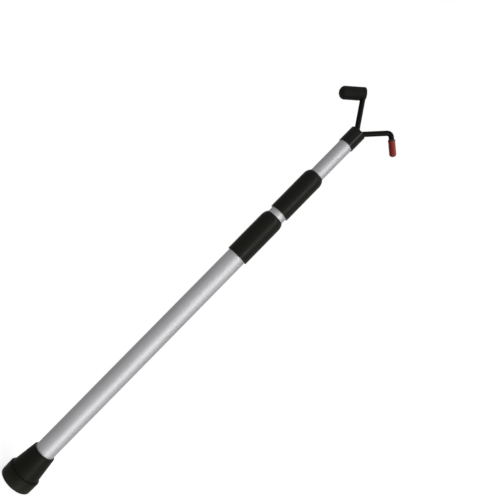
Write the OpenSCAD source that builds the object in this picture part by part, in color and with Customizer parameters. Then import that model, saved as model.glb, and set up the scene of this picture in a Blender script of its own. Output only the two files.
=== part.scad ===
// Three-stage telescopic support pole, standing on its rubber foot.
// Z runs up the pole from the centre of the sole. The padded prong is on the -X side
// and the capped prong on the +X side of the fork. All sizes are in millimetres.

/* [Tubes] */
// Outside diameter of the inner tube
inner_tube_d = 21; // [16:0.5:30]
// Wall of the inner tube
inner_wall = 1.2; // [0.8:0.1:2]
// Radial gap between the inner tube and the middle tube's bore
inner_gap = 0.8; // [0.5:0.1:1.5]
// Wall of the middle tube
mid_wall = 1.2; // [0.8:0.1:2]
// Radial gap between the middle tube and the outer tube's bore
mid_gap = 0.5; // [0.4:0.1:1.5]
// Wall of the outer tube
outer_wall = 1; // [0.8:0.1:2]
// Length of the outer tube
outer_tube_len = 456; // [250:1:1200]
// Bare middle tube seen between the two collars when collapsed
mid_show = 8.7; // [2:0.1:60]
// Bare inner tube seen between the upper collar and the head when collapsed
inner_show = 59.6; // [5:0.1:120]

/* [Foot] */
// Height of the whole rubber foot
foot_h = 50.5; // [35:0.5:90]
// Height of the foot's wide base
foot_base_h = 16.7; // [12:0.1:28]
// Rubber under the tube and its washer
sole_h = 10; // [6:0.5:11]
// Rubber outside the tube at the foot's top
foot_lip = 2.5; // [1.5:0.1:6]
// Growth of the foot's radius from its top down to the base
foot_flare = 4.4; // [1:0.1:8]
// Step from the neck of the foot out to the base
foot_step = 2.3; // [1.6:0.1:5]
// Growth of the base's radius from the sole's edge up to its top
foot_base_draft = 0.4; // [0.1:0.1:1]
// Rounding of the sole's edge
sole_round = 1; // [0.5:0.1:4]
// Rounding of the foot's other edges
foot_round = 1.2; // [0.4:0.1:1.3]
// Flat land in the middle of the sole
tread_centre_r = 6; // [3:0.5:9]
// Number of tread grooves in the sole
tread_count = 3; // [1:1:4]
// Width of each tread groove
tread_w = 1.6; // [0.8:0.1:2.4]
// Depth of each tread groove
tread_depth = 1.8; // [0.5:0.1:4]
// Thickness of the steel washer under the outer tube
foot_washer_t = 1.5; // [0.8:0.1:3]
// Hole in the steel washer
foot_washer_hole_d = 6; // [3:0.5:8]

/* [Collars] */
// Length of each collar
collar_len = 73.4; // [40:0.1:120]
// Wall of each collar outside its tube
collar_wall = 2.2; // [1.2:0.1:5]
// Length of the rounded upper end of each collar
collar_round_len = 9.5; // [4:0.1:20]
// Flat land left round the mouth of each collar
collar_land = 0.5; // [0.2:0.1:1]
// Depth of the inward lip at the top of each collar
collar_lip_h = 4; // [2:0.1:8]
// Bevel on the lower edge of each collar
collar_bevel = 0.6; // [0.2:0.1:1]
// Height of the nylon guide ring under each lip
guide_ring_h = 6; // [3:0.1:12]

/* [Twist lock] */
// Offset of the cam's journal from the pole's axis
cam_offset = 0.6; // [0.3:0.05:0.8]
// Turn of the tube that brings the cam up to the bore
lock_turn = 90; // [60:1:120]
// Length of the cam
cam_len = 14; // [8:0.5:24]
// Wall of the cam, before the offset
cam_wall = 4.4; // [2.5:0.1:4.5]
// Width of the split in the cam
cam_split_w = 2; // [1:0.1:3]
// Number of grip grooves round the cam
cam_groove_count = 3; // [1:1:5]
// Depth of the grip grooves
cam_groove_depth = 0.4; // [0.2:0.1:1]
// Width of the grip grooves
cam_groove_w = 1.4; // [0.6:0.1:1.6]
// Height of the split drag ring
drag_ring_h = 6; // [3:0.5:10]
// Radial thickness of the drag ring
drag_ring_t = 2.6; // [1.5:0.1:4]
// Width of the split in the drag ring
drag_split_w = 1.5; // [0.8:0.1:3]
// Thickness of the flange between cam and drag ring
plug_flange_t = 2; // [1:0.1:4]
// Radial inset of that flange from the tube's bore
plug_flange_inset = 1; // [0.3:0.1:2]
// Thickness of the shoulder under the tube
plug_shoulder_t = 3; // [1.5:0.1:6]
// Length of the plug inside the tube
plug_len = 28; // [20:0.5:60]
// Diameter of the spring pin through tube and plug
plug_pin_d = 3; // [2:0.1:4]
// Wall of the spring pin
plug_pin_wall = 0.5; // [0.3:0.1:0.7]
// Height of the spring pin above the tube's lower end
plug_pin_up = 21; // [18:0.5:24]
// Thread diameter of the cam screw
cam_screw_d = 4; // [3:0.1:5]
// Length of the cam screw's thread
cam_screw_len = 26; // [20:0.5:32]
// Diameter of the cam screw's head
cam_screw_head_d = 8; // [6:0.1:10]
// Height of the cam screw's head
cam_screw_head_h = 2.4; // [1.5:0.1:4]
// Thickness of the cam washer
cam_washer_t = 1; // [0.6:0.1:2]
// Overlap of the cam washer beyond the journal
cam_washer_lap = 1.2; // [0.5:0.1:2]

/* [Head] */
// Length of the head socket
socket_len = 25.5; // [20:0.1:50]
// Wall of the head socket
socket_wall = 1.4; // [0.8:0.1:4]
// Thickness of the socket's closed top
socket_top_t = 6.8; // [5:0.1:12]
// Bevel on the socket's edges
socket_bevel = 0.5; // [0.2:0.1:0.7]
// Diameter of the steel rod
rod_d = 6; // [4:0.1:7]
// Thickness of the coating on the rod
coating_t = 0.75; // [0.4:0.05:1]
// Bend radius of the rod on its centre line
bend_r = 5.5; // [5:0.1:6.5]
// Swelling of the rod's radius where it is bent
bend_swell = 0.05; // [0.03:0.01:0.1]
// Reach of that swelling over the straight rod
bend_lap = 0.3; // [0.1:0.05:0.5]
// Height at which the two arms' centre lines cross, below the socket's top
fork_sink = 4.1; // [3:0.1:4.5]
// Lean of the padded prong's arm from the pole
pad_arm_angle = 33.1; // [28:0.1:45]
// Length of the padded prong's arm to its corner
pad_arm_len = 59.1; // [45:0.1:120]
// Lean of the capped prong's arm from the pole
cap_arm_angle = 41.9; // [28:0.1:50]
// Length of the capped prong's arm to its corner
cap_arm_len = 49.4; // [35:0.1:120]
// Direction of both prongs, from straight up round to their side
prong_angle = 131.7; // [115:0.1:145]
// Length of the padded prong from its corner to the pad's end
pad_prong_len = 35; // [28:0.1:70]
// Length of the capped prong from its corner to the cap's end
cap_prong_len = 33.9; // [32:0.1:70]
// Diameter of the pad
pad_d = 18.7; // [14:0.1:30]
// Length of the pad past the corner
pad_over = 3; // [2.5:0.1:8]
// Length of the pad's domed end
pad_dome_len = 8; // [3:0.1:12]
// Rounding of the pad's other end
pad_round = 2.4; // [0.5:0.1:2.5]
// Width of the slot in that end, where the arm comes out
pad_slot_w = 6; // [4:0.1:6.4]
// Rubber between the rod's end and the pad's end
pad_end_t = 9; // [8:0.1:12]
// Wall of the cap
cap_wall = 1; // [0.5:0.1:3]
// Length of the cap
cap_len = 24.1; // [16:0.1:24.6]
// Thickness of the cap's closed end
cap_end_t = 2; // [1.5:0.1:4]
// Rounding of the cap's closed end
cap_round = 3.4; // [0.5:0.1:3.4]
// Height of the bead round the cap's mouth
cap_bead = 0.3; // [0.1:0.05:0.8]
// Width of that bead
cap_bead_w = 2; // [1:0.1:4]
// Diameter of the rivet that holds the head
rivet_d = 3.2; // [2:0.1:4.5]
// Diameter of the rivet's head
rivet_head_d = 6.4; // [5:0.1:9]
// Height of the rivet's head
rivet_head_h = 1.1; // [0.6:0.1:2]
// Length of the rivet's set end inside the tube
rivet_tail_len = 2.6; // [1.5:0.1:4]
// Growth of the rivet's radius where it is set
rivet_tail_grow = 0.7; // [0.3:0.1:1.2]
// Height of the rivet above the socket's lower edge
rivet_up = 9.5; // [5:0.1:14]

/* [Fits] */
// Clearance of round pieces that are pressed or glued together
seat_gap = 0.05; // [0.02:0.01:0.1]
// Running clearance of the sliding and turning pieces
run_gap = 0.06; // [0.02:0.01:0.1]
// Clearance between a collapsed tube and its stop
stop_gap = 0.3; // [0.1:0.05:0.6]
// End play of the cam and of the drag ring
end_play = 0.1; // [0.05:0.01:0.2]
// Clearance between a collar's lip and the tube that slides in it
lip_gap = 0.4; // [0.2:0.05:0.8]

/* [Hidden] */
$fn = 96;

// Overrun of every cut past the face that it opens
cut = 1;
// Steps in each rounded stretch of an outline
arc_steps = 12;
// Cross slot in the cam screw's head, as shares of the head's diameter and height
slot_w_share = 0.15;
slot_len_share = 0.6;
slot_depth_share = 0.5;
// Colours
aluminium = [0.75, 0.75, 0.78];
steel = [0.62, 0.63, 0.65];
rubber = [0.09, 0.09, 0.09];
plastic = [0.12, 0.12, 0.12];
nylon = [0.88, 0.87, 0.82];
vinyl = [0.70, 0.14, 0.12];

// Radii of the three tubes and their bores
inner_r = inner_tube_d / 2;
inner_bore_r = inner_r - inner_wall;
mid_bore_r = inner_r + inner_gap;
mid_r = mid_bore_r + mid_wall;
outer_bore_r = mid_r + mid_gap;
outer_r = outer_bore_r + outer_wall;

// Radii of the foot
foot_top_r = outer_r + foot_lip;
foot_neck_r = foot_top_r + foot_flare;
foot_base_r = foot_neck_r + foot_step;
sole_r = foot_base_r - foot_base_draft - sole_round;

// Height of the twist lock, from the screw's head to the tube that it carries
lock_len = cam_screw_head_h + cam_washer_t + cam_len + drag_ring_h + 4 * end_play
    + plug_flange_t + plug_shoulder_t;

// Heights along the pole when it is collapsed
outer_z = sole_h + foot_washer_t;
outer_top_z = outer_z + outer_tube_len;
outer_collar_top_z = outer_top_z + guide_ring_h + collar_lip_h;
mid_lock_z = outer_z + stop_gap;
mid_z = mid_lock_z + lock_len;
mid_collar_top_z = outer_collar_top_z + mid_show + collar_len;
mid_top_z = mid_collar_top_z - collar_lip_h - guide_ring_h;
inner_lock_z = mid_z + plug_len + stop_gap;
inner_z = inner_lock_z + lock_len;
socket_z = mid_collar_top_z + inner_show;
socket_top_z = socket_z + socket_len;
inner_top_z = socket_top_z - socket_top_t;

// The fork's centre line in the XZ plane, as [x, z] points and directions
coated_r = rod_d / 2 + coating_t;
fork_at = [0, socket_top_z - fork_sink];
pad_arm_dir = lean(-pad_arm_angle);
cap_arm_dir = lean(cap_arm_angle);
pad_prong_dir = lean(-prong_angle);
cap_prong_dir = lean(prong_angle);
pad_corner = fork_at + pad_arm_len * pad_arm_dir;
cap_corner = fork_at + cap_arm_len * cap_arm_dir;
// Lengths of coated rod on the prongs, from their corners
pad_rod_len = pad_prong_len - pad_end_t;
cap_rod_len = cap_prong_len - cap_end_t - seat_gap;

// Unit direction in the XZ plane at an angle from straight up, positive towards +X
function lean(a) = [sin(a), cos(a)];
// Angle from straight up of a direction in the XZ plane
function lean_of(d) = atan2(d[0], d[1]);
// Points of an arc about [cx, cy], from angle a0 to a1
function arc(cx, cy, r, a0, a1) =
    [for (i = [0:arc_steps])
        let (a = a0 + (a1 - a0) * i / arc_steps)
        [cx + r * cos(a), cy + r * sin(a)]];
// Radius of the arc that leaves a wall tangentially and drops by d over a length l
function tangent_arc_r(d, l) = (d * d + l * l) / (2 * d);

// A plain tube standing at z0
module tube(r, bore_r, z0, len) {
    translate([0, 0, z0])
        difference() {
            cylinder(r = r, h = len);
            translate([0, 0, -cut])
                cylinder(r = bore_r, h = len + 2 * cut);
        }
}

// A straight length of round rod between two [x, z] points
module rod_run(p, q, r) {
    translate([p[0], 0, p[1]])
        rotate([0, lean_of(q - p), 0])
            cylinder(r = r, h = norm(q - p));
}

// A bend of round rod at corner p, entered along u and left along v
module rod_bend(p, u, v, r) {
    turn = acos(u * v);
    inward = (v - u) / norm(v - u);
    centre = p + inward * bend_r / cos(turn / 2);
    translate([centre[0], 0, centre[1]])
        rotate([0, lean_of(-inward), 0])
            rotate([90, 0, 0])
                rotate([0, 0, 90 - turn / 2])
                    rotate_extrude(angle = turn)
                        translate([bend_r, 0])
                            circle(r = r + bend_swell);
}

// Length of rod from the corner to where the straight run goes on, between two directions
function bend_take(u, v) = bend_r * tan(acos(u * v) / 2) - bend_lap;

// The whole bent rod at a radius, with each prong ending at a length from its corner
module bent_rod(r, pad_end, cap_end) {
    fork_take = bend_take(-pad_arm_dir, cap_arm_dir);
    pad_take = bend_take(pad_arm_dir, pad_prong_dir);
    cap_take = bend_take(cap_arm_dir, cap_prong_dir);
    rod_run(pad_corner + pad_take * pad_prong_dir, pad_corner + pad_end * pad_prong_dir, r);
    rod_bend(pad_corner, -pad_prong_dir, -pad_arm_dir, r);
    rod_run(fork_at + fork_take * pad_arm_dir, pad_corner - pad_take * pad_arm_dir, r);
    rod_bend(fork_at, -pad_arm_dir, cap_arm_dir, r);
    rod_run(fork_at + fork_take * cap_arm_dir, cap_corner - cap_take * cap_arm_dir, r);
    rod_bend(cap_corner, cap_arm_dir, cap_prong_dir, r);
    rod_run(cap_corner + cap_take * cap_prong_dir, cap_corner + cap_end * cap_prong_dir, r);
}

// Stands its children on a prong, with +Z along the prong from its corner
module on_prong(corner, dir) {
    translate([corner[0], 0, corner[1]])
        rotate([0, lean_of(dir), 0])
            children();
}

// Rubber foot with a stepped base, a tapered neck and ring treads
module foot_ferrule() {
    bore_r = outer_r + seat_gap;
    tread_pitch = (sole_r - tread_centre_r) / tread_count;
    color(rubber)
        difference() {
            rotate_extrude()
                polygon(concat(
                    [[0, 0]],
                    arc(sole_r, sole_round, sole_round, -90, 0),
                    arc(foot_base_r - foot_round, foot_base_h - foot_round, foot_round, 0, 90),
                    [[foot_neck_r, foot_base_h]],
                    arc(foot_top_r - foot_round, foot_h - foot_round, foot_round, 0, 90),
                    [[bore_r, foot_h], [bore_r, sole_h], [0, sole_h]]
                ));
            for (i = [0:tread_count - 1])
                translate([0, 0, -cut])
                    difference() {
                        cylinder(r = tread_centre_r + i * tread_pitch + tread_w, h = tread_depth + cut);
                        translate([0, 0, -cut])
                            cylinder(r = tread_centre_r + i * tread_pitch, h = tread_depth + 3 * cut);
                    }
        }
}

// Steel washer that keeps the tube from cutting through the rubber
module foot_washer() {
    color(steel)
        tube(outer_r, foot_washer_hole_d / 2, sole_h, foot_washer_t);
}

module outer_tube() {
    color(aluminium)
        tube(outer_r, outer_bore_r, outer_z, outer_tube_len);
}

// Middle tube, drilled for the pin that holds its plug
module mid_tube() {
    color(aluminium)
        difference() {
            tube(mid_r, mid_bore_r, mid_z, mid_top_z - mid_z);
            pin_hole(mid_r, mid_z);
        }
}

// Inner tube, drilled for its plug's pin and for the head's rivet
module inner_tube() {
    color(aluminium)
        difference() {
            tube(inner_r, inner_bore_r, inner_z, inner_top_z - inner_z);
            pin_hole(inner_r, inner_z);
            rivet_hole();
        }
}

// Hole across a tube of radius r for the spring pin, above the tube's lower end at z0
module pin_hole(r, z0) {
    translate([0, r + cut, z0 + plug_pin_up])
        rotate([90, 0, 0])
            cylinder(r = plug_pin_d / 2 + seat_gap, h = 2 * (r + cut));
}

// Collar over the mouth of a tube, with a rounded top and a lip round the next tube
module collar(tube_r, next_r, top_z) {
    bore_r = tube_r + seat_gap;
    out_r = tube_r + collar_wall;
    mouth_r = next_r + lip_gap;
    drop = out_r - mouth_r - collar_land;
    round_r = tangent_arc_r(drop, collar_round_len);
    color(plastic)
        translate([0, 0, top_z])
            rotate_extrude()
                polygon(concat(
                    [[bore_r, -collar_len], [out_r - collar_bevel, -collar_len],
                     [out_r, collar_bevel - collar_len]],
                    arc(out_r - round_r, -collar_round_len, round_r, 0, asin(collar_round_len / round_r)),
                    [[mouth_r, 0], [mouth_r, -collar_lip_h], [bore_r, -collar_lip_h]]
                ));
}

module outer_collar() { collar(outer_r, mid_r, outer_collar_top_z); }
module mid_collar() { collar(mid_r, inner_r, mid_collar_top_z); }

// Nylon ring on a tube's rim that guides the next tube
module guide_ring(tube_r, next_r, z0) {
    color(nylon)
        tube(tube_r, next_r + run_gap, z0, guide_ring_h);
}

module outer_guide_ring() { guide_ring(outer_r, mid_r, outer_top_z); }
module mid_guide_ring() { guide_ring(mid_r, inner_r, mid_top_z); }

// Radii and heights of a twist lock that runs in a bore, measured from its lowest point
cam_shift = 2 * cam_offset * sin(lock_turn / 2);
function cam_r(bore_r) = bore_r - cam_shift - run_gap;
function journal_r(bore_r) = cam_r(bore_r) - cam_wall;
function ring_bore_r(bore_r) = bore_r - run_gap - drag_ring_t;
cam_z = cam_screw_head_h + cam_washer_t + end_play;
journal_len = cam_len + 2 * end_play;
flange_z = cam_z + cam_len + end_play;
ring_z = flange_z + plug_flange_t + end_play;
shoulder_z = ring_z + drag_ring_h + end_play;

// Nylon plug: shoulder, drag ring seat, flange and the cam's offset journal
module plug(bore_r, tube_bore_r, lock_z) {
    screw_hole_len = cam_screw_head_h + cam_washer_t + cam_screw_len;
    color(nylon)
        difference() {
            translate([0, 0, lock_z]) {
                translate([0, 0, lock_len])
                    cylinder(r = tube_bore_r - seat_gap, h = plug_len);
                translate([0, 0, shoulder_z])
                    cylinder(r = bore_r - run_gap, h = plug_shoulder_t);
                translate([0, 0, flange_z])
                    cylinder(r = ring_bore_r(bore_r) - run_gap, h = shoulder_z - flange_z);
                translate([0, 0, flange_z])
                    cylinder(r = bore_r - plug_flange_inset, h = plug_flange_t);
                translate([cam_offset, 0, cam_z - end_play])
                    cylinder(r = journal_r(bore_r) - run_gap, h = journal_len);
            }
            translate([cam_offset, 0, lock_z])
                cylinder(r = cam_screw_d / 2 + seat_gap, h = screw_hole_len);
            pin_hole(bore_r, lock_z + lock_len);
        }
}

module mid_plug() { plug(outer_bore_r, mid_bore_r, mid_lock_z); }
module inner_plug() { plug(mid_bore_r, inner_bore_r, inner_lock_z); }

// Split drag ring that keeps a tube's lower end central in the bore
module drag_ring(bore_r, lock_z) {
    color(nylon)
        translate([0, 0, lock_z + ring_z])
            difference() {
                tube(bore_r - run_gap, ring_bore_r(bore_r), 0, drag_ring_h);
                translate([-bore_r - cut, -drag_split_w / 2, -cut])
                    cube([bore_r + cut, drag_split_w, drag_ring_h + 2 * cut]);
            }
}

module mid_drag_ring() { drag_ring(outer_bore_r, mid_lock_z); }
module inner_drag_ring() { drag_ring(mid_bore_r, inner_lock_z); }

// Split cam on the offset journal, with grip grooves round it
module cam(bore_r, lock_z) {
    groove_pitch = cam_len / (cam_groove_count + 1);
    color(nylon)
        translate([0, 0, lock_z + cam_z])
            difference() {
                cylinder(r = cam_r(bore_r), h = cam_len);
                translate([cam_offset, 0, -cut])
                    cylinder(r = journal_r(bore_r), h = cam_len + 2 * cut);
                translate([0, -cam_split_w / 2, -cut])
                    cube([bore_r, cam_split_w, cam_len + 2 * cut]);
                for (i = [1:cam_groove_count])
                    translate([0, 0, i * groove_pitch - cam_groove_w / 2])
                        tube(bore_r, cam_r(bore_r) - cam_groove_depth, 0, cam_groove_w);
            }
}

module mid_cam() { cam(outer_bore_r, mid_lock_z); }
module inner_cam() { cam(mid_bore_r, inner_lock_z); }

// Washer that keeps the cam on its journal
module cam_washer(bore_r, lock_z) {
    color(steel)
        translate([cam_offset, 0, lock_z + cam_screw_head_h])
            tube(journal_r(bore_r) + cam_washer_lap, cam_screw_d / 2 + seat_gap, 0, cam_washer_t);
}

module mid_cam_washer() { cam_washer(outer_bore_r, mid_lock_z); }
module inner_cam_washer() { cam_washer(mid_bore_r, inner_lock_z); }

// Pan-head screw up into the plug, with a cross slot in its head
module cam_screw(lock_z) {
    slot_w = cam_screw_head_d * slot_w_share;
    slot_len = cam_screw_head_d * slot_len_share;
    slot_depth = cam_screw_head_h * slot_depth_share;
    thread_len = cam_screw_head_h + cam_washer_t + cam_screw_len - end_play;
    color(steel)
        translate([cam_offset, 0, lock_z])
            difference() {
                union() {
                    cylinder(r = cam_screw_d / 2, h = thread_len);
                    cylinder(r = cam_screw_head_d / 2, h = cam_screw_head_h);
                }
                for (a = [0, 90])
                    rotate([0, 0, a])
                        translate([-slot_len / 2, -slot_w / 2, -cut])
                            cube([slot_len, slot_w, slot_depth + cut]);
            }
}

module mid_cam_screw() { cam_screw(mid_lock_z); }
module inner_cam_screw() { cam_screw(inner_lock_z); }

// Rolled spring pin across a tube and its plug, flush with the tube
module plug_pin(tube_r, z0) {
    half = tube_r - stop_gap;
    color(steel)
        translate([0, half, z0 + plug_pin_up])
            rotate([90, 0, 0])
                difference() {
                    tube(plug_pin_d / 2, plug_pin_d / 2 - plug_pin_wall, 0, 2 * half);
                    translate([0, -plug_pin_wall / 2, -cut])
                        cube([plug_pin_d, plug_pin_wall, 2 * (half + cut)]);
                }
}

module mid_plug_pin() { plug_pin(mid_r, mid_z); }
module inner_plug_pin() { plug_pin(inner_r, inner_z); }

// Hole through socket and tube for the rivet, at the back of the pole
module rivet_hole() {
    translate([0, 0, socket_z + rivet_up])
        rotate([-90, 0, 0])
            cylinder(r = rivet_d / 2 + seat_gap, h = inner_r + socket_wall + cut);
}

// Cap that holds the tube below and the fork's bend in its closed top
module head_socket() {
    bore_r = inner_r + seat_gap;
    out_r = inner_r + socket_wall;
    color(plastic)
        difference() {
            rotate_extrude()
                polygon([
                    [0, socket_top_z], [out_r - socket_bevel, socket_top_z],
                    [out_r, socket_top_z - socket_bevel], [out_r, socket_z + socket_bevel],
                    [out_r - socket_bevel, socket_z], [bore_r, socket_z],
                    [bore_r, inner_top_z], [0, inner_top_z]
                ]);
            rivet_hole();
            bent_rod(coated_r + seat_gap, pad_rod_len, cap_rod_len);
        }
}

// Blind rivet through the back of the socket, set inside the tube
module head_rivet() {
    tail_r = rivet_d / 2 + rivet_tail_grow;
    tail_y = sqrt(inner_bore_r * inner_bore_r - tail_r * tail_r) - seat_gap;
    head_y = inner_r + socket_wall + seat_gap;
    color(steel)
        translate([0, 0, socket_z + rivet_up])
            rotate([-90, 0, 0]) {
                translate([0, 0, tail_y - rivet_tail_len])
                    cylinder(r = tail_r, h = rivet_tail_len);
                translate([0, 0, tail_y - rivet_tail_len])
                    cylinder(r = rivet_d / 2, h = head_y + rivet_head_h - tail_y + rivet_tail_len);
                translate([0, 0, head_y])
                    cylinder(r1 = rivet_head_d / 2, r2 = rivet_d / 2, h = rivet_head_h);
            }
}

// Steel rod bent into the fork and its two prongs
module fork_rod() {
    color(steel)
        bent_rod(rod_d / 2, pad_rod_len - coating_t - seat_gap, cap_rod_len - coating_t - seat_gap);
}

// Black coating over the whole rod, closed over its ends
module fork_coating() {
    color(plastic)
        difference() {
            bent_rod(coated_r, pad_rod_len, cap_rod_len);
            bent_rod(rod_d / 2 + seat_gap, pad_rod_len - coating_t, cap_rod_len - coating_t);
        }
}

// Rubber pad pushed over the prong, slotted at its inner end where the arm comes out
module prong_pad() {
    pad_r = pad_d / 2;
    dome = [for (i = [0:arc_steps]) let (a = 90 * i / arc_steps)
        [pad_r * cos(a), pad_prong_len - pad_dome_len + pad_dome_len * sin(a)]];
    color(rubber)
        difference() {
            on_prong(pad_corner, pad_prong_dir)
                rotate_extrude()
                    polygon(concat(
                        [[0, -pad_over]],
                        arc(pad_r - pad_round, pad_round - pad_over, pad_round, -90, 0),
                        dome
                    ));
            bent_rod(coated_r + seat_gap, pad_rod_len + seat_gap, cap_rod_len);
            on_prong(pad_corner, pad_prong_dir)
                translate([-pad_r - cut, -pad_slot_w / 2, -pad_over - cut])
                    cube([pad_r + cut, pad_slot_w, pad_over + cut]);
        }
}

// Vinyl cap on the other prong, with a bead round its mouth
module prong_cap() {
    bore_r = coated_r + seat_gap;
    out_r = bore_r + cap_wall;
    mouth = cap_prong_len - cap_len;
    color(vinyl)
        on_prong(cap_corner, cap_prong_dir)
            rotate_extrude()
                polygon(concat(
                    [[bore_r, mouth], [out_r, mouth], [out_r + cap_bead, mouth + cap_bead],
                     [out_r + cap_bead, mouth + cap_bead_w - cap_bead], [out_r, mouth + cap_bead_w]],
                    arc(out_r - cap_round, cap_prong_len - cap_round, cap_round, 0, 90),
                    [[0, cap_prong_len], [0, cap_rod_len + seat_gap], [bore_r, cap_rod_len + seat_gap]]
                ));
}

foot_ferrule();
foot_washer();
outer_tube();
outer_collar();
outer_guide_ring();
mid_drag_ring();
mid_tube();
mid_plug();
mid_plug_pin();
mid_cam_screw();
mid_cam_washer();
mid_collar();
mid_guide_ring();
mid_cam();
inner_drag_ring();
inner_tube();
inner_plug();
inner_plug_pin();
inner_cam_screw();
inner_cam_washer();
inner_cam();
head_socket();
head_rivet();
fork_rod();
fork_coating();
prong_pad();
prong_cap();
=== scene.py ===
"""A three-section twist-lock pole with a forked head, dressed and set in a pale studio.

Sizes are in millimetres in the frame of the CAD model, and turn to metres where a mesh is made.
"""

import logging
import math
from dataclasses import dataclass, replace
from enum import Enum
from typing import Any

import bmesh
import bpy
import numpy as np
from mathutils import Matrix, Vector
from numpy.typing import NDArray


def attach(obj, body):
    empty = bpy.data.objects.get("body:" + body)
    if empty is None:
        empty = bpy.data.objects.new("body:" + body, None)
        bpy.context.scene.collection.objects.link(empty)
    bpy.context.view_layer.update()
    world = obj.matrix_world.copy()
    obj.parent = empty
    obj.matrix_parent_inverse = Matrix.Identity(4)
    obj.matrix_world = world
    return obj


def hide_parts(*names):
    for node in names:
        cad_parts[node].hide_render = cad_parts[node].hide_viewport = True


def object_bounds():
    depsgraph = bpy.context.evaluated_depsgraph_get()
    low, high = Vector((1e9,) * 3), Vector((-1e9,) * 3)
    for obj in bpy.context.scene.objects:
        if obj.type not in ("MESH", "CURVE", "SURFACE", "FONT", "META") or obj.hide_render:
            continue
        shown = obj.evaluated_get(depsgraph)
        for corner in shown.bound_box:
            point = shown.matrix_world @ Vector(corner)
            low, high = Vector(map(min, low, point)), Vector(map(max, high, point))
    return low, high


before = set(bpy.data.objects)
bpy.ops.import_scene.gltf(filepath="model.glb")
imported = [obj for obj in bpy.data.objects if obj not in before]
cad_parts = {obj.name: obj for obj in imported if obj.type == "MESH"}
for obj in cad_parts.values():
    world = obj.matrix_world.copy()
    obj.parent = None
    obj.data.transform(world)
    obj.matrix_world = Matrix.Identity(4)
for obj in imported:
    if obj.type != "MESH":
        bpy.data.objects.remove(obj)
CAD_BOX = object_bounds()
LOG = logging.getLogger("pole")
Array = NDArray[np.float64]
Socket = bpy.types.NodeSocket
Tree = bpy.types.NodeTree

MM = 0.001
# Clearance between parts that are seated in each other
SEAT_GAP = 0.05
# How far a cutter passes the surface that it cuts
OVERCUT = 1.0
# How far above and below a hole a tube gets a row of its own
HOLE_MARGIN = 4.0
COLUMNS = 128
WIRE_COLUMNS = 48
ARC_STEPS = 8
BEND_STEPS = 18
# Reach of the points that keep a long run straight next to a bend
SUPPORT = 0.4
CREASE_DEG = 35.0
# The part of a noise's range that most of its values are in
NOISE_LOW = 0.3
NOISE_HIGH = 0.7
IMAGE_WIDTH_PX = 484
IMAGE_HEIGHT_PX = 500


class Body(Enum):
    """The moving bodies of the pole that a new piece rides on."""

    BASE = "base"
    MIDDLE = "mid_section"
    INNER = "inner_section"


class Slot(Enum):
    """The material slots of the record."""

    ALUMINIUM = "anodised_aluminium"
    RUBBER = "black_rubber"
    COLLAR = "black_collar"
    SOCKET = "black_socket"
    COATING = "black_coating"
    VINYL = "red_vinyl"


# Shapes: profiles, grids and closed shells


def points(*parts: Any) -> Array:
    """Joins single points and runs of points into one line.

    Args:
        parts: Each a point of two numbers or an array of such points.

    Returns:
        The points, one a row.
    """
    return np.concatenate([np.atleast_2d(np.asarray(part, dtype=float)) for part in parts])


def arc(centre: tuple[float, float], radius: float, start_deg: float, end_deg: float) -> Array:
    """Points of a circle: centre plus radius times (cosine, sine) of evenly spaced angles.

    Args:
        centre: Middle of the circle.
        radius: Its radius.
        start_deg: First angle.
        end_deg: Last angle.

    Returns:
        The points, from the first angle to the last.
    """
    turn = np.radians(np.linspace(start_deg, end_deg, ARC_STEPS + 1))
    return np.asarray(centre) + radius * np.stack((np.cos(turn), np.sin(turn)), axis=-1)


def dome(radius: float, start: float, length: float) -> Array:
    """A quarter of an ellipse, from the full radius up to the axis.

    A point is (radius cos f, start + length sin f), where f goes from zero to a quarter turn.

    Args:
        radius: Radius where the dome starts.
        start: Height where it starts.
        length: Its own height.

    Returns:
        The points, with the last one on the axis.
    """
    turn = np.linspace(0.0, math.pi / 2, 3 * ARC_STEPS)
    line = np.stack((radius * np.cos(turn), start + length * np.sin(turn)), axis=-1)
    line[-1, 0] = 0.0
    return line


def unit(vectors: Array) -> Array:
    """Each row divided by its own length."""
    return vectors / np.linalg.norm(vectors, axis=-1, keepdims=True)


def lean(angle_deg: float) -> Array:
    """Direction in the plane of the fork: (sine, cosine) of the angle from straight up."""
    return np.array([math.sin(math.radians(angle_deg)), math.cos(math.radians(angle_deg))])


def supported(line: Array) -> Array:
    """Adds a point near both ends of each long run, at a fixed reach, so that it shades straight.

    Args:
        line: Points of the line.

    Returns:
        The line with the added points.
    """
    step = np.diff(line, axis=0)
    length = np.linalg.norm(step, axis=1)
    inset = step * (SUPPORT / np.maximum(length, SUPPORT))[:, None]
    rows = np.stack((line[:-1], line[:-1] + inset, line[1:] - inset), axis=1)
    long_run = length > 3 * SUPPORT
    keep = np.stack((np.ones_like(long_run), long_run, long_run), axis=1)
    return np.concatenate((rows[keep], line[-1:]))


def revolve(line: Array, columns: int = COLUMNS) -> Array:
    """Turns a line of (radius, height) about Z: at angle a a point is (r cos a, r sin a, height).

    Args:
        line: Points of radius and height.
        columns: Number of angles.

    Returns:
        A grid of points, one row for each point of the line.
    """
    turn = np.linspace(0.0, 2.0 * math.pi, columns, endpoint=False)
    radius, height = line[:, :1], line[:, 1:]
    return np.stack((radius * np.cos(turn), radius * np.sin(turn), height + 0.0 * turn), axis=-1)


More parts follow.
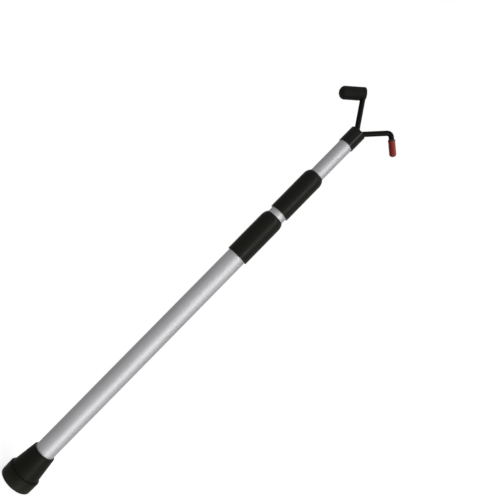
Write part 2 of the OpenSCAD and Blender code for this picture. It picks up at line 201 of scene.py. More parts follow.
def rounded_line(corners: Array, radius: float) -> Array:
    """Rounds each inner corner of a line with an arc that touches both of its runs.

    A point of an arc is start + radius * (sin f * run_in + (1 - cos f) * side), where f goes from
    zero to the corner's turn.

    Args:
        corners: Points of the line.
        radius: Radius of the arcs.

    Returns:
        The points of the rounded line.
    """
    run_in, run_out = unit(corners[1:-1] - corners[:-2]), unit(corners[2:] - corners[1:-1])
    along = (run_in * run_out).sum(axis=1, keepdims=True)
    turn = np.arccos(along)
    start = corners[1:-1] - radius * np.tan(turn / 2) * run_in
    part = (turn * np.linspace(0.0, 1.0, BEND_STEPS + 1))[..., None]
    side = unit(run_out - along * run_in)[:, None]
    bends = start[:, None] + radius * (np.sin(part) * run_in[:, None] + (1 - np.cos(part)) * side)
    return points(corners[0], bends.reshape(-1, 2), corners[-1])


def sweep(path: Array, radius: float, end_round: float) -> Array:
    """Carries a circle along a path in the XZ plane, and closes both ends with a rounded edge.

    At a path point p with normal n, the point at angle a is p + r (cos a * n + sin a * Y). At an
    end, r is the radius less the rounding, plus the rounding times the sine of a quarter turn.

    Args:
        path: Points (x, z) of the path.
        radius: Radius of the circle.
        end_round: Radius of the rounding at each end.

    Returns:
        A grid of points whose first and last rows are poles.
    """
    tangent = unit(np.gradient(path, axis=0))
    quarter = np.linspace(0.0, math.pi / 2, ARC_STEPS + 1)[:, None]
    inset, edge = end_round * (1 - np.cos(quarter)), radius - end_round * (1 - np.sin(quarter))
    first, last = path[0] + inset * tangent[0], path[-1] - inset[::-1] * tangent[-1]
    middle = slice(1, -1)
    place = points(path[0], first, path[middle], last, path[-1])
    ahead = points(
        tangent[0], 0 * first + tangent[0], tangent[middle], 0 * last + tangent[-1], tangent[-1]
    )
    reach = np.concatenate(
        ([[0.0]], edge, np.full((len(path) - 2, 1), radius), edge[::-1], [[0.0]])
    )
    turn = np.linspace(0.0, 2.0 * math.pi, WIRE_COLUMNS, endpoint=False)
    across = reach * np.cos(turn)
    return np.stack(
        (
            place[:, :1] - across * ahead[:, 1:],
            reach * np.sin(turn),
            place[:, 1:] + across * ahead[:, :1],
        ),
        axis=-1,
    )


def on_prong(grid: Array, corner: Array, angle_deg: float) -> Array:
    """Leans a grid made about Z by an angle about Y, and moves it to a corner of the fork.

    Args:
        grid: Points about the Z axis.
        corner: Place (x, z) of the corner.
        angle_deg: Lean of the prong from straight up.

    Returns:
        The moved points.
    """
    (sine, cosine), (x, y, z) = lean(angle_deg), np.moveaxis(grid, -1, 0)
    return np.stack(
        (corner[0] + cosine * x + sine * z, y, corner[1] - sine * x + cosine * z), axis=-1
    )


@dataclass(frozen=True)
class Shell:
    """A closed surface on a grid: columns wrap round, and rows wrap too or end in poles."""

    grid: Array
    ring: bool = False
    cavity: bool = False

    def quads(self) -> NDArray[np.int64]:
        """Faces between neighbouring rows and columns, turned outwards by the sign of the volume.

        Returns:
            Four point numbers a face, turned inwards for a cavity.
        """
        rows, columns = self.grid.shape[:2]
        index = np.arange(rows * columns).reshape(rows, columns)
        low = index if self.ring else index[:-1]
        high = np.roll(index, -1, axis=0) if self.ring else index[1:]
        faces = np.stack((low, np.roll(low, -1, 1), np.roll(high, -1, 1), high), axis=-1)
        faces = faces.reshape(-1, 4)
        a, b, c, d = np.moveaxis(self.grid.reshape(-1, 3)[faces], 1, 0)
        volume = (a * (np.cross(b, c) + np.cross(c, d))).sum()
        return faces[:, ::-1] if (volume < 0) != self.cavity else faces


def turned(line: Array, columns: int = COLUMNS) -> Shell:
    """A solid of revolution from a line that starts and ends on the axis."""
    return Shell(revolve(supported(line), columns))


def ring(line: Array) -> Shell:
    """A ring of revolution from a closed line clear of the axis."""
    return Shell(revolve(supported(points(line, line[0]))[:-1]), ring=True)


def drill(radius: float, height: float, start: float, end: float) -> Shell:
    """A round cutter along Y: a turned pin whose own height becomes Y.

    Args:
        radius: Radius of the hole.
        height: Height of its axis.
        start: Lowest Y.
        end: Highest Y.

    Returns:
        The cutter's shell.
    """
    grid = revolve(points([0, start], [radius, start], [radius, end], [0, end]), WIRE_COLUMNS)
    return Shell(grid[..., [0, 2, 1]] + np.array([0.0, 0.0, height]))


def smooth(mesh: bpy.types.Mesh) -> None:
    """Shades a mesh smooth, but for edges sharper than the crease angle."""
    mesh.shade_smooth()
    mesh.set_sharp_from_angle(angle=math.radians(CREASE_DEG))


def solid(name: str, *shells: Shell) -> bpy.types.Object:
    """Makes one object of closed shells, with the rows at their poles merged.

    Args:
        name: Name of the object.
        shells: The shells, in millimetres.

    Returns:
        The object, at the origin.
    """
    first = np.cumsum([0] + [shell.grid[..., 0].size for shell in shells])
    places = np.concatenate([shell.grid.reshape(-1, 3) for shell in shells]) * MM
    faces = np.concatenate([shell.quads() + start for shell, start in zip(shells, first)])
    mesh = bpy.data.meshes.new(name)
    mesh.from_pydata(places.tolist(), [], faces.tolist())
    work = bmesh.new()
    work.from_mesh(mesh)
    bmesh.ops.remove_doubles(work, verts=work.verts, dist=0.001 * MM)
    work.to_mesh(mesh)
    work.free()
    smooth(mesh)
    piece = bpy.data.objects.new(name, mesh)
    bpy.context.scene.collection.objects.link(piece)
    return piece


def carve(piece: bpy.types.Object, *cutters: Shell) -> None:
    """Cuts closed shells out of a piece and keeps the result as its mesh.

    Args:
        piece: The piece to cut.
        cutters: What is cut away, in millimetres.
    """
    tools = [solid("cutter", cutter) for cutter in cutters]
    for tool in tools:
        cut = piece.modifiers.new("cut", "BOOLEAN")
        cut.solver = "EXACT"
        cut.object = tool
    bpy.context.view_layer.update()
    shape = piece.evaluated_get(bpy.context.evaluated_depsgraph_get())
    mesh = bpy.data.meshes.new_from_object(shape)
    piece.modifiers.clear()
    piece.data = mesh
    smooth(mesh)
    for tool in tools:
        bpy.data.objects.remove(tool)


# Finishes: one class for each real material and how its surface was made


def linear(colour: str) -> tuple[float, float, float, float]:
    """Turns an sRGB hex colour to the linear values that Blender's sockets take.

    Args:
        colour: Six hex digits after a hash.

    Returns:
        Red, green, blue and an alpha of one.
    """
    parts = np.array([int(colour[i : i + 2], 16) for i in (1, 3, 5)]) / 255
    low, high = parts / 12.92, ((parts + 0.055) / 1.055) ** 2.4
    return (*np.where(parts <= 0.04045, low, high).tolist(), 1.0)


def per_mm(x: float, y: float, z: float) -> tuple[float, float, float]:
    """Scale of a pattern on metre coordinates whose features have these sizes in millimetres."""
    return (1 / (x * MM), 1 / (y * MM), 1 / (z * MM))


def add(tree: Tree, kind: str, inputs: dict[Any, Any], **settings: Any) -> bpy.types.Node:
    """Adds a node with its settings, its constant inputs and its links.

    Args:
        tree: The node tree.
        kind: Blender's name for the node's type.
        inputs: A constant or another node's output for each input, by its name or number.
        settings: Properties of the node.

    Returns:
        The node.
    """
    node = tree.nodes.new(kind)
    for name, value in settings.items():
        setattr(node, name, value)
    for name, value in inputs.items():
        if isinstance(value, Socket):
            tree.links.new(value, node.inputs[name])
        else:
            node.inputs[name].default_value = value
    return node


@dataclass(frozen=True)
class Finish:
    """What every finish has: its colour, and how rough and how metallic it is."""

    name: str
    colour: str
    second: str
    roughness: float
    metallic: float = 0.0
    specular: float = 0.5

    def material(self) -> bpy.types.Material:
        """Gives the finish's material, and makes it the first time.

        Returns:
            The material.
        """
        known = bpy.data.materials.get(self.name)
        if known:
            return known
        material = bpy.data.materials.new(self.name)
        material.use_nodes = True
        tree = material.node_tree
        shader = tree.nodes["Principled BSDF"]
        shader.inputs["Metallic"].default_value = self.metallic
        shader.inputs["Specular IOR Level"].default_value = self.specular
        place = add(tree, "ShaderNodeTexCoord", {}).outputs["Object"]
        colour, roughness, normal = self.surface(tree, place)
        tree.links.new(colour, shader.inputs["Base Color"])
        tree.links.new(roughness, shader.inputs["Roughness"])
        tree.links.new(normal, shader.inputs["Normal"])
        return material

    def surface(self, tree: Tree, place: Socket) -> tuple[Socket, Socket, Socket]:
        """Builds the pattern; each finish has its own.

        Args:
            tree: The material's nodes.
            place: Object coordinates.

        Returns:
            The sockets of colour, roughness and normal.
        """
        raise NotImplementedError


@dataclass(frozen=True)
class SatinAnodisedTube(Finish):
    """Extruded aluminium tube, etched and clear anodised.

    The etch scatters light, so the eye sees a soft silver with one broad bright band and no sharp
    reflections. Faint die lines run along it, and the sections slid into each other leave thin
    rub marks. Real die lines are about 0.1 mm apart and real rub marks about 0.5 mm high. They
    are drawn 1.5 mm apart and 1.8 mm high, because finer ones don't show.
    """

    die_line: float = 1.5
    die_line_len: float = 140.0
    line_depth: float = 0.0025
    cloud: float = 22.0
    rub_height: float = 1.8
    rub_width: float = 16.0
    rub_from: float = 0.66
    rub_full: float = 0.8
    rub_gain: float = 1.04
    rub_polish: float = 0.035
    mix_low: float = 0.7
    mix_high: float = 1.3
    rough_spread: float = 0.04

    def surface(self, tree: Tree, place: Socket) -> tuple[Socket, Socket, Socket]:
        """Die lines and clouds in the etch, with sparse rub marks that are a little brighter.

        Args:
            tree: The material's nodes.
            place: Object coordinates.

        Returns:
            The sockets of colour, roughness and normal.
        """
        lines_at = add(tree, "ShaderNodeMapping", {
            "Vector": place, "Scale": per_mm(self.die_line, self.die_line, self.die_line_len)})
        lines = add(tree, "ShaderNodeTexNoise", {
            "Vector": lines_at.outputs[0], "Scale": 1.0, "Detail": 3.0})
        clouds_at = add(tree, "ShaderNodeMapping", {
            "Vector": place, "Scale": per_mm(self.cloud, self.cloud, 3 * self.cloud)})
        clouds = add(tree, "ShaderNodeTexNoise", {
            "Vector": clouds_at.outputs[0], "Scale": 1.0, "Detail": 4.0})
        rubs_at = add(tree, "ShaderNodeMapping", {
            "Vector": place, "Scale": per_mm(self.rub_width, self.rub_width, self.rub_height)})
        rubs = add(tree, "ShaderNodeTexNoise", {
            "Vector": rubs_at.outputs[0], "Scale": 1.0, "Detail": 2.0})
        marks = add(tree, "ShaderNodeMapRange", {
            "Value": rubs.outputs["Fac"], "From Min": self.rub_from, "From Max": self.rub_full})
        mix = add(tree, "ShaderNodeMath", {
            0: lines.outputs["Fac"], 1: clouds.outputs["Fac"]}, operation="ADD")
        colour = add(tree, "ShaderNodeMapRange", {
            "Vector": mix.outputs[0], 7: (self.mix_low,) * 3, 8: (self.mix_high,) * 3,
            9: linear(self.colour)[:3], 10: linear(self.second)[:3]}, data_type="FLOAT_VECTOR")
        grain = add(tree, "ShaderNodeMapRange", {
            "Value": mix.outputs[0], "From Min": self.mix_low, "From Max": self.mix_high,
            "To Min": self.roughness - self.rough_spread,
            "To Max": self.roughness + self.rough_spread})
        roughness = add(tree, "ShaderNodeMath", {
            0: marks.outputs[0], 1: -self.rub_polish, 2: grain.outputs[0]},
            operation="MULTIPLY_ADD")
        rubbed = add(tree, "ShaderNodeVectorMath", {
            0: colour.outputs[1], 3: self.rub_gain}, operation="SCALE")
        worn = add(tree, "ShaderNodeMix", {
            0: marks.outputs[0], 6: colour.outputs[1], 7: rubbed.outputs[0]}, data_type="RGBA")
        bump = add(tree, "ShaderNodeBump", {
            "Height": lines.outputs["Fac"], "Distance": self.line_depth * MM, "Strength": 1.0})
        return worn.outputs[2], roughness.outputs[0], bump.outputs[0]


@dataclass(frozen=True)
class MouldedPolymer(Finish):
    """Moulded plastic or rubber, with a grain from its mould.

    The grain breaks the gloss up, so the eye sees one plain tone with a soft lighter band.
    Handling leaves patches that shine a little more, and scuffs of a second tone. Real grain is
    about 0.1 mm wide and is drawn 0.5 mm or wider, because finer grain doesn't show.
    """

    grain: float = 0.5
    grain_depth: float = 0.02
    patch: float = 9.0
    scuff: float = 5.0
    scuff_from: float = 0.66
    scuff_fade: float = 0.12
    scuff_shift: tuple[float, float, float] = (3.1, 1.7, 0.4)
    rough_spread: float = 0.06

    def surface(self, tree: Tree, place: Socket) -> tuple[Socket, Socket, Socket]:
        """Fine grain for the bump, broad patches for the gloss, and sparse scuffs for the colour.

        Args:
            tree: The material's nodes.
            place: Object coordinates.

        Returns:
            The sockets of colour, roughness and normal.
        """
        fine_at = add(tree, "ShaderNodeMapping", {
            "Vector": place, "Scale": per_mm(self.grain, self.grain, self.grain)})
        fine = add(tree, "ShaderNodeTexNoise", {
            "Vector": fine_at.outputs[0], "Scale": 1.0, "Detail": 2.0})
        patch_at = add(tree, "ShaderNodeMapping", {
            "Vector": place, "Scale": per_mm(self.patch, self.patch, 2 * self.patch)})
        patch = add(tree, "ShaderNodeTexNoise", {
            "Vector": patch_at.outputs[0], "Scale": 1.0, "Detail": 5.0})
        scuff_at = add(tree, "ShaderNodeMapping", {
            "Vector": place, "Location": self.scuff_shift,
            "Scale": per_mm(self.scuff, self.scuff, 0.4 * self.scuff)})
        scuff = add(tree, "ShaderNodeTexNoise", {
            "Vector": scuff_at.outputs[0], "Scale": 1.0, "Detail": 6.0, "Roughness": 0.6})
        worn = add(tree, "ShaderNodeMapRange", {
            "Value": scuff.outputs["Fac"], "From Min": self.scuff_from,
            "From Max": self.scuff_from + self.scuff_fade})
        colour = add(tree, "ShaderNodeMix", {
            0: worn.outputs[0], 6: linear(self.colour), 7: linear(self.second)}, data_type="RGBA")
        roughness = add(tree, "ShaderNodeMapRange", {
            "Value": patch.outputs["Fac"], "From Min": NOISE_LOW, "From Max": NOISE_HIGH,
            "To Min": self.roughness - self.rough_spread,
            "To Max": self.roughness + self.rough_spread})
        bump = add(tree, "ShaderNodeBump", {
            "Height": fine.outputs["Fac"], "Distance": self.grain_depth * MM, "Strength": 1.0})
        return colour.outputs[2], roughness.outputs[0], bump.outputs[0]


@dataclass(frozen=True)
class FerruleRubber(MouldedPolymer):
    """Compression-moulded natural rubber, filled with carbon black.

    It is matt and very dark, with a dull band of light. The sole and the lower edge pick up a grey
    dust from the floor, which thins out towards the neck.
    """

    dust: str = "#46453b"
    dust_height: float = 13.0
    dust_share: float = 0.5
    dust_cloud: float = 3.0

    def surface(self, tree: Tree, place: Socket) -> tuple[Socket, Socket, Socket]:
        """The moulded surface with dust over it, by height and broken by a noise.

        Args:
            tree: The material's nodes.
            place: Object coordinates.

        Returns:
            The sockets of colour, roughness and normal.
        """
        colour, roughness, normal = super().surface(tree, place)
        height = add(tree, "ShaderNodeSeparateXYZ", {0: place})
        low = add(tree, "ShaderNodeMapRange", {
            "Value": height.outputs["Z"], "From Min": self.dust_height * MM, "From Max": 0.0,
            "To Max": self.dust_share})
        cloud_at = add(tree, "ShaderNodeMapping", {
            "Vector": place, "Scale": per_mm(self.dust_cloud, self.dust_cloud, self.dust_cloud)})
        cloud = add(tree, "ShaderNodeTexNoise", {
            "Vector": cloud_at.outputs[0], "Scale": 1.0, "Detail": 6.0})
        share = add(tree, "ShaderNodeMath", {
            0: low.outputs[0], 1: cloud.outputs["Fac"]}, operation="MULTIPLY")
        dusty = add(tree, "ShaderNodeMix", {
            0: share.outputs[0], 6: colour, 7: linear(self.dust)}, data_type="RGBA")
        return dusty.outputs[2], roughness, normal


@dataclass(frozen=True)
class CapVinyl(MouldedPolymer):
    """Dip-moulded red PVC, coloured near-black for a short length from its mouth.

    A saturated, waxy red with a soft shine, and a thin near-black ring where it starts.
    """

    # Near-black colour over the first length from the cap's mouth, fading out over its last part
    mouth_band: str = "#0c0b09"
    mouth_band_length: float = 2.7
    mouth_band_fade: float = 0.3
    along: tuple[float, float, float] = (0.0, 0.0, 1.0)
    mouth: float = 0.0

    def surface(self, tree: Tree, place: Socket) -> tuple[Socket, Socket, Socket]:
        """The moulded surface, black up to a length along the prong from the cap's mouth.

        Args:
            tree: The material's nodes.
            place: Object coordinates.

        Returns:
            The sockets of colour, roughness and normal.
        """
        colour, roughness, normal = super().surface(tree, place)
        way = add(tree, "ShaderNodeVectorMath", {0: place, 1: self.along}, operation="DOT_PRODUCT")
        end = self.mouth + self.mouth_band_length
        past_band = add(tree, "ShaderNodeMapRange", {
            "Value": way.outputs["Value"], "From Min": (end - self.mouth_band_fade) * MM,
            "From Max": end * MM})
        ringed = add(tree, "ShaderNodeMix", {
            0: past_band.outputs[0], 6: linear(self.mouth_band), 7: colour}, data_type="RGBA")
        return ringed.outputs[2], roughness, normal


@dataclass(frozen=True)
class PlatedSteel(Finish):
    """Low-carbon steel, zinc plated and clear passivated.

    The eye sees a bright grey metal whose passivation shifts from bluish to straw in small clouds.
    Real pits are about 0.05 mm wide and are drawn 0.4 mm wide, because finer ones don't show.
    """

    cloud: float = 3.0
    pit: float = 0.4
    pit_depth: float = 0.01
    rough_down: float = 0.06
    rough_up: float = 0.08

    def surface(self, tree: Tree, place: Socket) -> tuple[Socket, Socket, Socket]:
        """Clouds between two greys that also set the roughness, with fine pits for the bump.

        Args:
            tree: The material's nodes.
            place: Object coordinates.

        Returns:
            The sockets of colour, roughness and normal.
        """
        cloud_at = add(tree, "ShaderNodeMapping", {
            "Vector": place, "Scale": per_mm(self.cloud, self.cloud, self.cloud)})
        cloud = add(tree, "ShaderNodeTexNoise", {
            "Vector": cloud_at.outputs[0], "Scale": 1.0, "Detail": 4.0})
        pit_at = add(tree, "ShaderNodeMapping", {
            "Vector": place, "Scale": per_mm(self.pit, self.pit, self.pit)})
        pit = add(tree, "ShaderNodeTexNoise", {"Vector": pit_at.outputs[0], "Scale": 1.0})
        colour = add(tree, "ShaderNodeMix", {
            0: cloud.outputs["Fac"], 6: linear(self.colour), 7: linear(self.second)},
            data_type="RGBA")
        roughness = add(tree, "ShaderNodeMapRange", {
            "Value": cloud.outputs["Fac"], "From Min": NOISE_LOW, "From Max": NOISE_HIGH,
            "To Min": self.roughness - self.rough_down,
            "To Max": self.roughness + self.rough_up})
        bump = add(tree, "ShaderNodeBump", {
            "Height": pit.outputs["Fac"], "Distance": self.pit_depth * MM, "Strength": 1.0})
        return colour.outputs[2], roughness.outputs[0], bump.outputs[0]


TUBE = SatinAnodisedTube("satin anodised aluminium tube", "#d1d0d2", "#dcdbdd", 0.57, 1.0)
# The thinnest section: the same satin silver, a shade darker
INNER_TUBE = replace(
    TUBE, name="satin anodised inner tube", colour="#cac9cb", second="#d5d4d6")
# Talc-filled polypropylene with a fine spark-eroded grain: a dull, even near black
COLLAR = MouldedPolymer(
    "moulded black collar", "#0e0f07", "#1f2019", 0.36, specular=0.22,
    grain_depth=0.03, rough_spread=0.09, scuff_from=0.63)
# Glass-smooth ABS from a polished mould: the same black with one narrow bright strip
SOCKET = MouldedPolymer(
    "polished black socket", "#0b0c06", "#15160f", 0.11, specular=0.27,
    grain=2.5, grain_depth=0.015, rough_spread=0.04, scuff_from=0.7)
# PVC plastisol, dipped and fused: wet-looking, with a slow orange peel from its flow
COATING = MouldedPolymer(
    "dipped black vinyl", "#0a0a08", "#131310", 0.36, specular=0.12,
    grain=2.2, grain_depth=0.05, rough_spread=0.05, scuff_from=0.72)
# Soft moulded rubber with fine open pores: matt, no clear highlight at all
PAD = MouldedPolymer(
    "matt black pad rubber", "#131310", "#20201c", 0.66, specular=0.2,
    grain=0.7, grain_depth=0.06, rough_spread=0.08, scuff_from=0.68)
FERRULE = FerruleRubber(
    "moulded black ferrule rubber", "#0e0f06", "#1a1b11", 0.46, specular=0.17,
    grain=0.8, grain_depth=0.03)
VINYL = CapVinyl(
    "dip-moulded red vinyl", "#972b21", "#87261d", 0.31, specular=0.42,
    grain=2.2, grain_depth=0.012, patch=6.0, scuff_from=0.72)
# Natural PA6, moulded: ivory and slightly waxy
NYLON = MouldedPolymer(
    "moulded natural nylon", "#d9d2be", "#b9b2a0", 0.45, specular=0.5,
    grain=0.9, grain_depth=0.02, scuff_from=0.64)
STEEL = PlatedSteel("zinc-plated steel", "#b4b9c0", "#c3c0b2", 0.34, 1.0)


def fit(piece: bpy.types.Object, body: Body, finish: Finish, node: str) -> None:
    """Dresses a new piece, hangs it on its body and lets it stand for a CAD node.

    Args:
        piece: The new piece.
        body: The body that it rides on.
        finish: Its finish.
        node: The CAD node that it replaces.
    """
    piece.data.materials.clear()
    piece.data.materials.append(finish.material())
    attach(piece, body.value)
    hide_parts(node)
    LOG.info("%s: %d faces, %s", piece.name, len(piece.data.polygons), finish.name)


def dress(node: str, finish: Finish) -> None:
    """Gives a CAD node that keeps its shape a finish.

    Args:
        node: Name of the node.
        finish: Its finish.
    """
    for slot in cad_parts[node].material_slots:
        slot.material = finish.material()
    LOG.info("%s: kept, %s", node, finish.name)


# Sub-assemblies, from the floor up


@dataclass
class Foot:
    """The rubber ferrule with its ribbed sole, and the washer inside it."""

    height: float = 50.5
    base_height: float = 16.7
    floor_top: float = 10.0
    top_radius: float = 16.5
    neck_radius: float = 20.9
    base_radius: float = 23.2
    draft: float = 0.4
    edge: float = 1.2
    sole_edge: float = 1.0
    bore: float = 14.0 + SEAT_GAP
    rib_start: float = 6.0
    rib_count: int = 3
    rib_width: float = 1.6
    rib_depth: float = 1.8
    flash_height: float = 8.4
    flash: float = 0.1
    flash_half: float = 0.25
    rim: float = 0.4

    def sole(self) -> Array:
        """Line of the sole: flat lands with rounded grooves at an even pitch.

        A groove's points are shares of its width and of its depth.

        Returns:
            Points from the centre to the sole's edge.
        """
        sole_radius = self.base_radius - self.draft - self.sole_edge
        pitch = (sole_radius - self.rib_start) / self.rib_count
        starts = self.rib_start + pitch * np.arange(self.rib_count)
        groove = np.array([
            [0, 0], [0.07, 0.02], [0.12, 0.1], [0.17, 0.8], [0.3, 1],
            [0.7, 1], [0.83, 0.8], [0.88, 0.1], [0.93, 0.02], [1, 0]])
        grooves = starts[:, None, None] * [1, 0] + groove * [self.rib_width, self.rib_depth]
        return points([0, 0], grooves.reshape(-1, 2))

    def line(self) -> Array:
        """Whole profile: sole, drafted base with its parting line, tapered neck, and the bore.

        Returns:
            Points from the sole's centre round to the inside of the bore.
        """
        sole_radius = self.base_radius - self.draft
        base = points(
            [sole_radius, self.sole_edge], [self.base_radius, self.base_height - self.edge])
        below, above = self.flash_height - self.flash_half, self.flash_height + self.flash_half
        flash = np.interp([below, self.flash_height, above], base[:, 1], base[:, 0])
        # From the base's top down into a shallow gutter and up on to the neck
        gutter = np.array([
            [0.75, 0.0], [0.5, -0.15], [0.3, -0.45], [0.1, -0.5], [-0.06, -0.2], [-0.12, 0.9]])
        return points(
            self.sole(),
            arc((sole_radius - self.sole_edge, self.sole_edge), self.sole_edge, -90, 0),
            [flash[0], below], [flash[1] + self.flash, self.flash_height], [flash[2], above],
            arc((self.base_radius - self.edge, self.base_height - self.edge), self.edge, 0, 90),
            [self.neck_radius, self.base_height] + gutter,
            arc((self.top_radius - self.edge, self.height - self.edge), self.edge, 7, 90),
            arc((self.bore + self.rim, self.height - self.rim), self.rim, 90, 180),
            [self.bore, self.floor_top], [0, self.floor_top])

    def build(self) -> None:
        """Makes the ferrule and dresses the washer."""
        piece = solid("ferrule", turned(self.line()))
        fit(piece, Body.BASE, FERRULE, "foot_ferrule")
        dress("foot_washer", STEEL)


@dataclass
class Tube:
    """One drawn tube, with its ends deburred and its holes drilled."""

    node: str
    body: Body
    radius: float
    bore: float
    start: float
    end: float
    pin_height: float | None = None
    rivet_height: float | None = None
    pin_radius: float = 1.55
    rivet_radius: float = 1.65
    deburr: float = 0.2
    finish: Finish = TUBE

    def build(self) -> None:
        """Makes the tube as a ring of revolution, with rows close to each hole, and drills it."""
        holes = [z for z in (self.pin_height, self.rivet_height) if z is not None]
        rows = np.sort([z + side for z in holes for side in (-HOLE_MARGIN, HOLE_MARGIN)])
        outside = np.stack((np.full_like(rows, self.radius), rows), axis=-1)
        inside = np.stack((np.full_like(rows, self.bore), rows), axis=-1)[::-1]
        low, high, cut = self.start, self.end, self.deburr
        piece = solid(f"{self.node}_drawn", ring(points(
            [self.bore + cut, low], [self.radius - cut, low], [self.radius, low + cut], outside,
            [self.radius, high - cut], [self.radius - cut, high], [self.bore + cut, high],
            [self.bore, high - cut], inside, [self.bore, low + cut])))
        reach = self.radius + OVERCUT
        cutters = []
        if self.pin_height is not None:
            cutters.append(drill(self.pin_radius, self.pin_height, -reach, reach))
        if self.rivet_height is not None:
            cutters.append(drill(self.rivet_radius, self.rivet_height, 0, reach))
        if cutters:
            carve(piece, *cutters)
        fit(piece, self.body, self.finish, self.node)


@dataclass
class Collar:
    """A moulded collar glued over a tube's mouth, with a nylon guide ring under its lip."""

    node: str
    body: Body
    guide: str
    tube_radius: float
    next_radius: float
    top: float
    length: float = 73.4
    wall: float = 2.2
    crown_length: float = 9.5
    land: float = 0.5
    lip: float = 4.0
    lip_gap: float = 0.4
    edge: float = 0.6
    chamfer: float = 0.3
    lip_edge: float = 0.15

    def line(self) -> Array:
        """Closed profile: straight side, a crown that leaves it tangentially, and the lip.

        The crown's radius is (drop squared + length squared) / (2 drop).

        Returns:
            The points, from the bore's lower edge round the outside.
        """
        bore, out = self.tube_radius + SEAT_GAP, self.tube_radius + self.wall
        mouth = self.next_radius + self.lip_gap
        drop, low = out - mouth - self.land, self.top - self.length
        crown = (drop**2 + self.crown_length**2) / (2 * drop)
        sweep_deg = math.degrees(math.asin(self.crown_length / crown))
        # The two points after the crown break its edge to the flat top
        return points(
            [bore, low + self.chamfer], [bore + self.chamfer, low],
            arc((out - self.edge, low + self.edge), self.edge, -90, 0),
            arc((out - crown, self.top - self.crown_length), crown, 0, sweep_deg - 1.0),
            [mouth + self.land - 0.08, self.top - 0.05], [mouth + self.land - 0.2, self.top],
            [mouth + self.lip_edge, self.top], [mouth, self.top - self.lip_edge],
            [mouth, self.top - self.lip], [bore, self.top - self.lip])

    def build(self) -> None:
        """Makes the collar and dresses its guide ring."""
        piece = solid(f"{self.node}_moulded", ring(self.line()))
        fit(piece, self.body, COLLAR, self.node)
        dress(self.guide, NYLON)


@dataclass
class Lock:
    """A cam lock inside a tube: nylon plug, cam and drag ring, with steel pin, screw and washer."""

    section: str

    def build(self) -> None:
        """Dresses the lock's parts, whose shapes come from the CAD model."""
        for part in ("plug", "cam", "drag_ring"):
            dress(f"{self.section}_{part}", NYLON)
        for part in ("plug_pin", "cam_screw", "cam_washer"):
            dress(f"{self.section}_{part}", STEEL)


